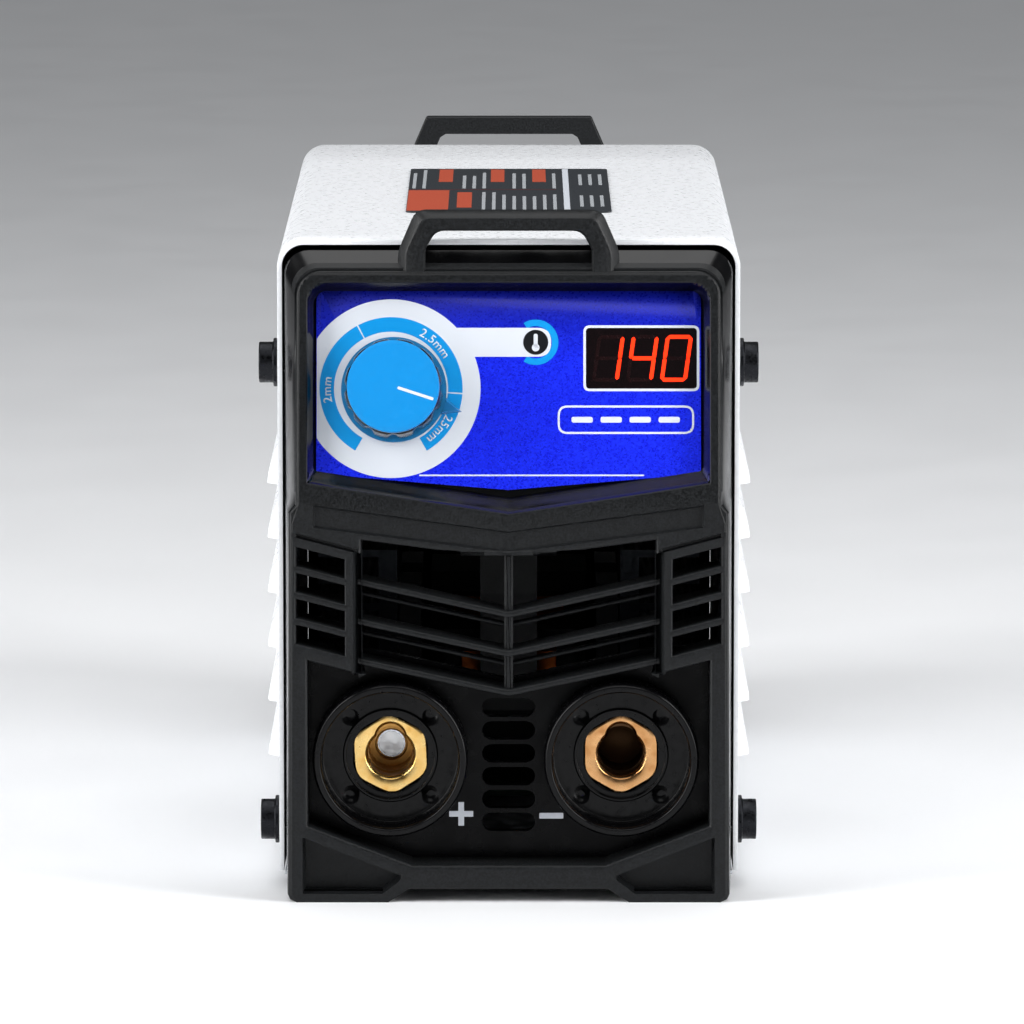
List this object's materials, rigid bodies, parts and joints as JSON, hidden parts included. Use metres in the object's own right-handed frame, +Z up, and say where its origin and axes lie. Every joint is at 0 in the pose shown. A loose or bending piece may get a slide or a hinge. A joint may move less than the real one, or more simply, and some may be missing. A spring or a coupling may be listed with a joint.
{
  "type": "stick welding inverter",
  "caption": "Small box-shaped arc welding inverter with a tilted control panel, current dial, digital display, two bayonet sockets, louvred steel cover and strap loops.",
  "frame": {"origin": "centre of the bounding box, at the level of the feet", "axes": "+Z up, the control panel and sockets face -Y, +X to the right seen from the front"},
  "size_m": [0.104, 0.2454, 0.1432],
  "materials": {
    "black_plastic": "fine moulded texture, satin",
    "white_enamel": "satin powder coat",
    "zinc_steel": "plain zinc",
    "printed_label": "printed film",
    "black_screw": "black oxide",
    "blue_overlay": "printed film with a fine sparkle",
    "smoked_window": "smoked, polished",
    "dark_component": "moulded",
    "led_lens": "diffused lens",
    "knob_black": "moulded, satin",
    "knob_blue": "smooth cap",
    "pointer_blue": "translucent",
    "bright_steel": "bright plated",
    "circuit_board": "green solder mask",
    "gloss_plastic": "polished moulding",
    "brass": "machined",
    "copper": "bare copper",
    "ferrite": "matt",
    "heatsink_aluminium": "extruded",
    "rocker_red": "translucent red"
  },
  "bodies": {
    "chassis": {"front_bezel": "black_plastic", "rear_bezel": "black_plastic", "top_cover": "white_enamel", "base_pan": "zinc_steel", "cover_label": "printed_label", "cover_screw_front_lower_left": "black_screw", "cover_screw_front_lower_right": "black_screw", "cover_screw_front_upper_left": "black_screw", "cover_screw_front_upper_right": "black_screw", "cover_screw_rear_lower_left": "black_screw", "cover_screw_rear_lower_right": "black_screw", "cover_screw_rear_upper_left": "black_screw", "cover_screw_rear_upper_right": "black_screw", "fan_screw_1": "black_screw", "fan_screw_2": "black_screw", "fan_screw_3": "black_screw", "fan_screw_4": "black_screw", "control_overlay": "blue_overlay", "display_window": "smoked_window", "display_module": "dark_component", "capacitor_1": "dark_component", "capacitor_2": "dark_component", "igbt_1": "dark_component", "igbt_2": "dark_component", "output_diode_1": "dark_component", "output_diode_2": "dark_component", "bridge_rectifier": "dark_component", "relay": "dark_component", "ribbon_cable": "dark_component", "temperature_led": "led_lens", "pot_body": "bright_steel", "pot_nut": "bright_steel", "positive_terminal_bolt": "bright_steel", "negative_terminal_bolt": "bright_steel", "control_board": "circuit_board", "main_board": "circuit_board", "socket_plate": "gloss_plastic", "positive_socket_flange": "gloss_plastic", "negative_socket_flange": "gloss_plastic", "fan_frame": "gloss_plastic", "switch_body": "gloss_plastic", "gland_body": "gloss_plastic", "gland_dome": "gloss_plastic", "gland_locknut": "gloss_plastic", "positive_socket_insert": "brass", "negative_socket_insert": "brass", "positive_busbar": "copper", "negative_busbar": "copper", "transformer_winding": "copper", "choke_winding": "copper", "transformer_core": "ferrite", "choke_core": "ferrite", "heatsink_left": "heatsink_aluminium", "heatsink_right": "heatsink_aluminium"},
    "knob": {"knob_body": "knob_black", "knob_cap": "knob_blue", "knob_pointer": "pointer_blue", "pot_shaft": "bright_steel"},
    "fan": {"fan_rotor": "gloss_plastic"},
    "rocker": {"switch_rocker": "rocker_red"}
  },
  "joints": [
    {"name": "knob_turn", "type": "hinge", "parent": "chassis", "child": "knob", "pos_m": [-0.0237, -0.11079, 0.10697], "axis": [0, 0.9816, -0.1908], "range_deg": [-258, 42]},
    {"name": "fan_spin", "type": "hinge", "parent": "chassis", "child": "fan", "pos_m": [0, 0.08874, 0.048], "axis": [0, 1, 0], "continuous": true},
    {"name": "rocker_press", "type": "hinge", "parent": "chassis", "child": "rocker", "pos_m": [-0.02, 0.10474, 0.11], "axis": [1, 0, 0], "range_deg": [0, 24]}
  ]
}
